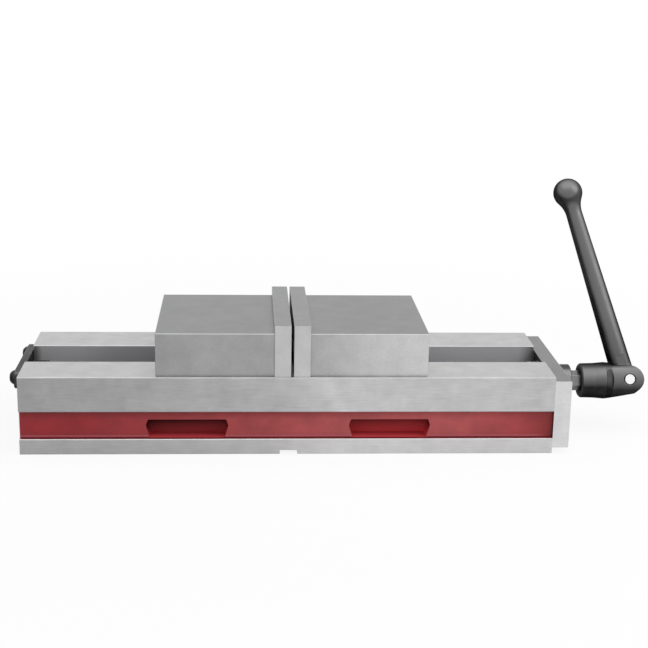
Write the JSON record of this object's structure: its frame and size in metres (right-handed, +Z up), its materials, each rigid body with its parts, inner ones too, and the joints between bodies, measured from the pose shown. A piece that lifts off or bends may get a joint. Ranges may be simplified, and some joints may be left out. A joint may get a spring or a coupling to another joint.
{
  "type": "precision machine vise",
  "caption": "Self-centring machine vise: jaws slide on a long slotted bed, driven by a leadscrew with a folding ball-end crank.",
  "frame": {"origin": "middle of the cross key slot, on the plane of the base", "axes": "+X along the bed and the screw, towards the crank; +Z up, from the base to the jaws; the picture is taken from -Y"},
  "size_m": [0.63, 0.16, 0.2472],
  "materials": {
    "bed_iron": "ground faces, red paint in the recessed band",
    "end_plate_steel": "ground",
    "jaw_iron": "ground",
    "jaw_plate_steel": "hardened and ground",
    "nut_iron": "milled, oiled",
    "hardened_steel": "ground",
    "screw_steel": "turned, oiled",
    "bronze": "turned",
    "bearing_steel": "polished",
    "cage_brass": "pressed",
    "black_screw": "black oxide",
    "black_steel": "black oxide, satin",
    "crank_black": "black oxide on a forged skin, satin",
    "pin_steel": "bright"
  },
  "bodies": {
    "bed": {"bed": "bed_iron", "end_plate": "end_plate_steel", "end_plate_screws": "black_screw", "journal_bush": "bronze", "thrust_race_housing": "bearing_steel", "tail_bush": "bronze", "end_bar": "black_steel", "end_bar_screws": "black_screw"},
    "screw": {"leadscrew": "screw_steel", "thrust_race_shaft": "bearing_steel", "thrust_washer": "black_steel", "lock_collar": "black_steel", "collar_set_screw": "black_screw", "crank_hub": "crank_black", "crank_pin": "pin_steel"},
    "bearing_cage": {"thrust_cage": "cage_brass", "thrust_balls": "bearing_steel"},
    "left_jaw": {"jaw_block_left": "jaw_iron", "jaw_plate_left": "jaw_plate_steel", "jaw_plate_screws_left": "black_screw", "screw_nut_left": "nut_iron", "lock_segment_left": "hardened_steel", "jaw_set_screw_left": "black_screw"},
    "right_jaw": {"jaw_block_right": "jaw_iron", "jaw_plate_right": "jaw_plate_steel", "jaw_plate_screws_right": "black_screw", "screw_nut_right": "nut_iron", "lock_segment_right": "hardened_steel", "jaw_set_screw_right": "black_screw"},
    "crank_arm": {"crank_arm": "crank_black"}
  },
  "joints": [
    {"name": "screw_turn", "type": "hinge", "parent": "bed", "child": "screw", "pos_m": [0, 0, 0.049], "axis": [1, 0, 0], "range_deg": [-90, 8640]},
    {"name": "left_jaw_slide", "type": "slide", "parent": "bed", "child": "left_jaw", "axis": [-1, 0, 0], "range_m": [-0.00126, 0.12001]},
    {"name": "right_jaw_slide", "type": "slide", "parent": "bed", "child": "right_jaw", "axis": [1, 0, 0], "range_m": [-0.00126, 0.12001]},
    {"name": "cage_turn", "type": "hinge", "parent": "bed", "child": "bearing_cage", "pos_m": [0, 0, 0.049], "axis": [1, 0, 0], "range_deg": [-45.1, 4320.1]},
    {"name": "crank_fold", "type": "hinge", "parent": "screw", "child": "crank_arm", "pos_m": [0.347, 0.00034, 0.05011], "axis": [0, 0.9563, -0.2924], "range_deg": [0, 106.8]}
  ],
  "couplings": [
    {"joint": "left_jaw_slide", "follows": "screw_turn", "m_per_rad": 0.00079577},
    {"joint": "right_jaw_slide", "follows": "screw_turn", "m_per_rad": 0.00079577},
    {"joint": "cage_turn", "follows": "screw_turn", "ratio": 0.5}
  ]
}
